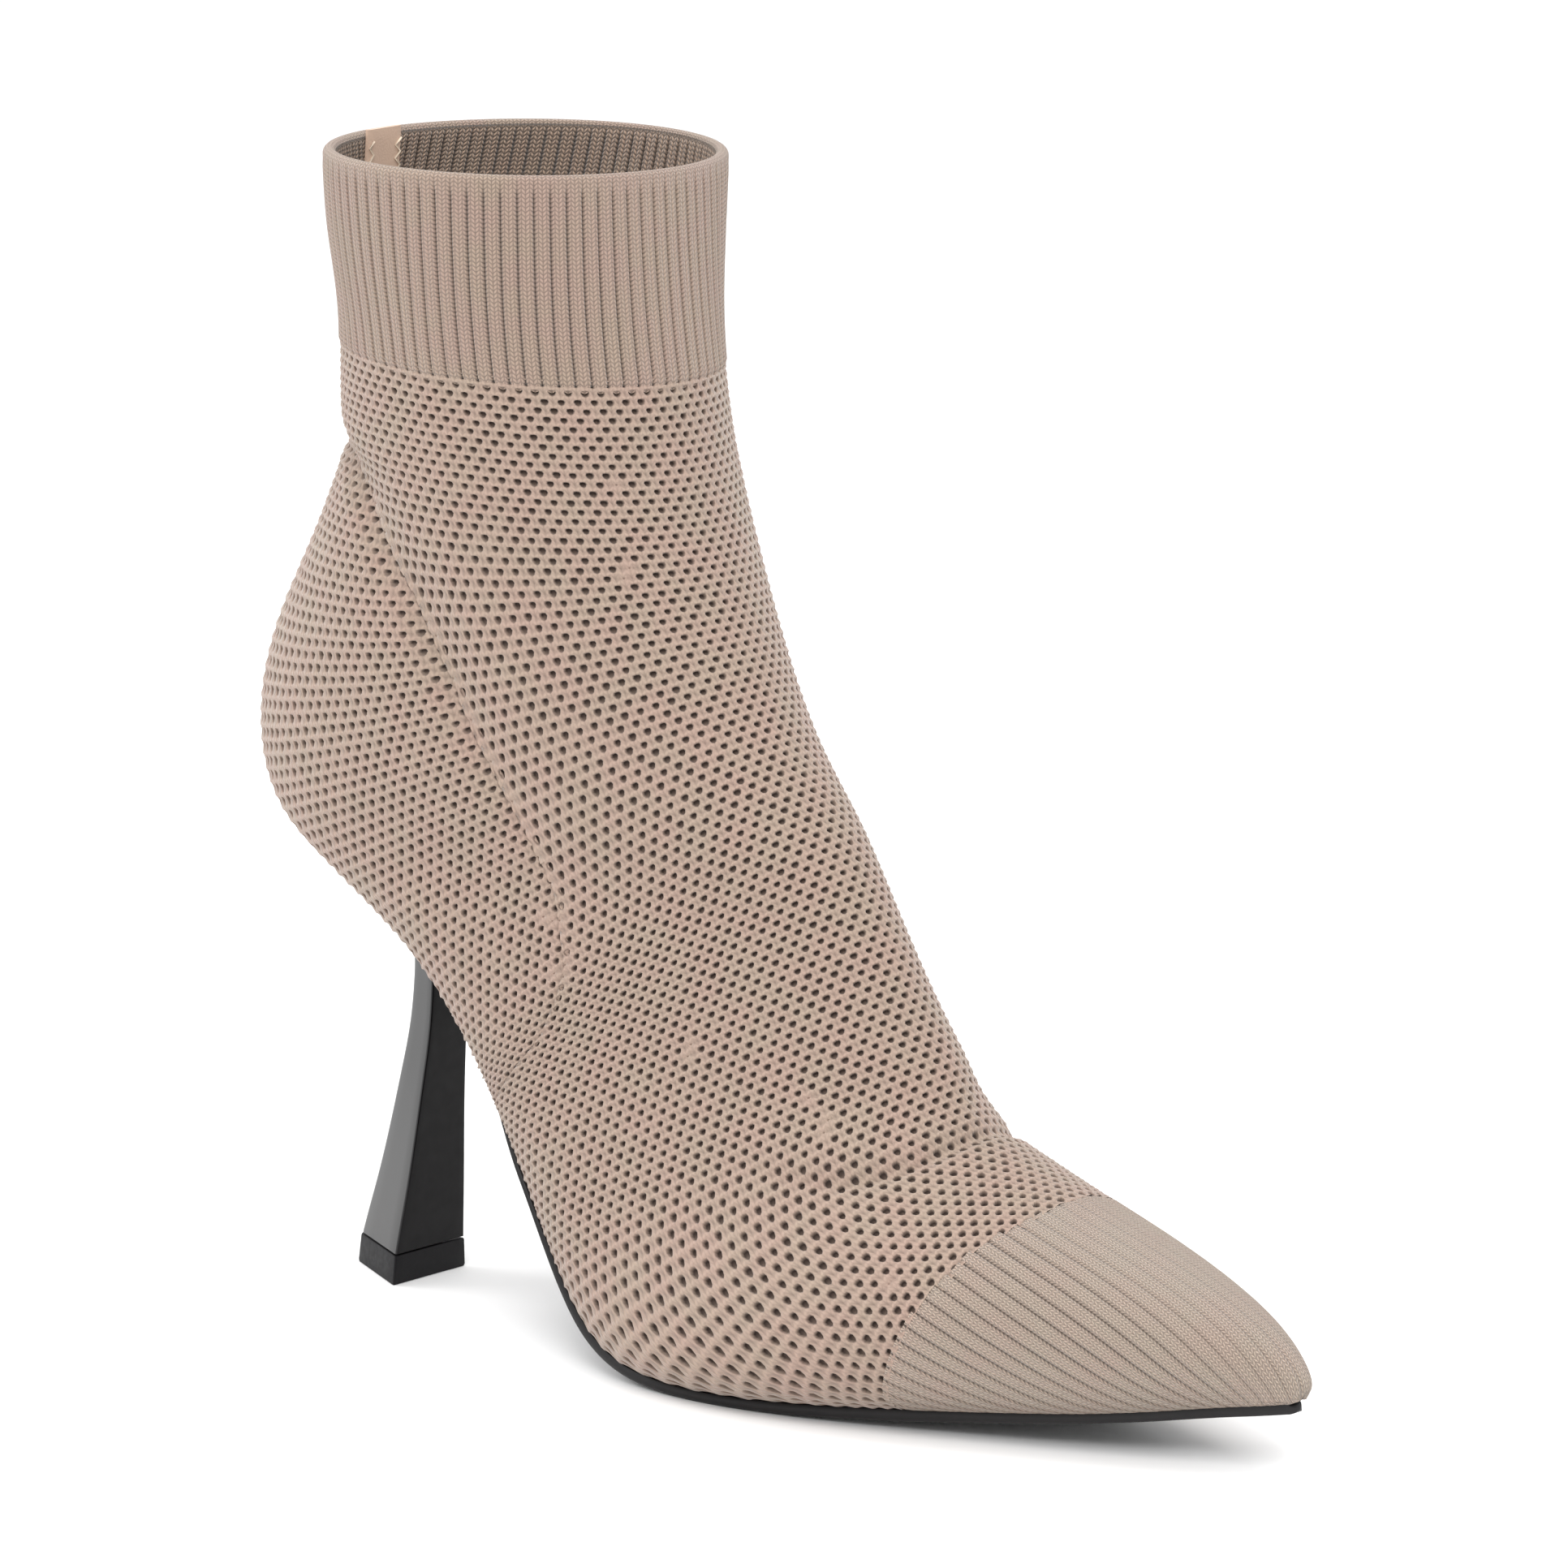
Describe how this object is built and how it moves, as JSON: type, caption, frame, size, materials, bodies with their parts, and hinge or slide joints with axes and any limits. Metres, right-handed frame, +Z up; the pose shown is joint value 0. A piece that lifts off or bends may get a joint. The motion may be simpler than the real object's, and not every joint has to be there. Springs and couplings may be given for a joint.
{
  "type": "knitted sock ankle boot",
  "caption": "Pointed-toe knitted sock boot for the right foot, with a ribbed cuff, thin sole and slim flared high heel.",
  "frame": {"origin": "middle of the bounding box on the floor, under the waist of the shoe", "axes": "+X from heel to toe, +Y towards the inner side of this right shoe, +Z up from the floor"},
  "size_m": [0.2396, 0.0804, 0.2189],
  "materials": {
    "knit": "matte",
    "lining": "matte",
    "sole_rubber": "satin",
    "heel_plastic": "gloss",
    "tip_rubber": "matte",
    "tape": "matte"
  },
  "bodies": {
    "root": {"upper": "knit", "insole": "lining", "outsole": "sole_rubber", "heel": "heel_plastic", "top_lift": "tip_rubber", "seam_tape": "tape"}
  },
  "joints": []
}
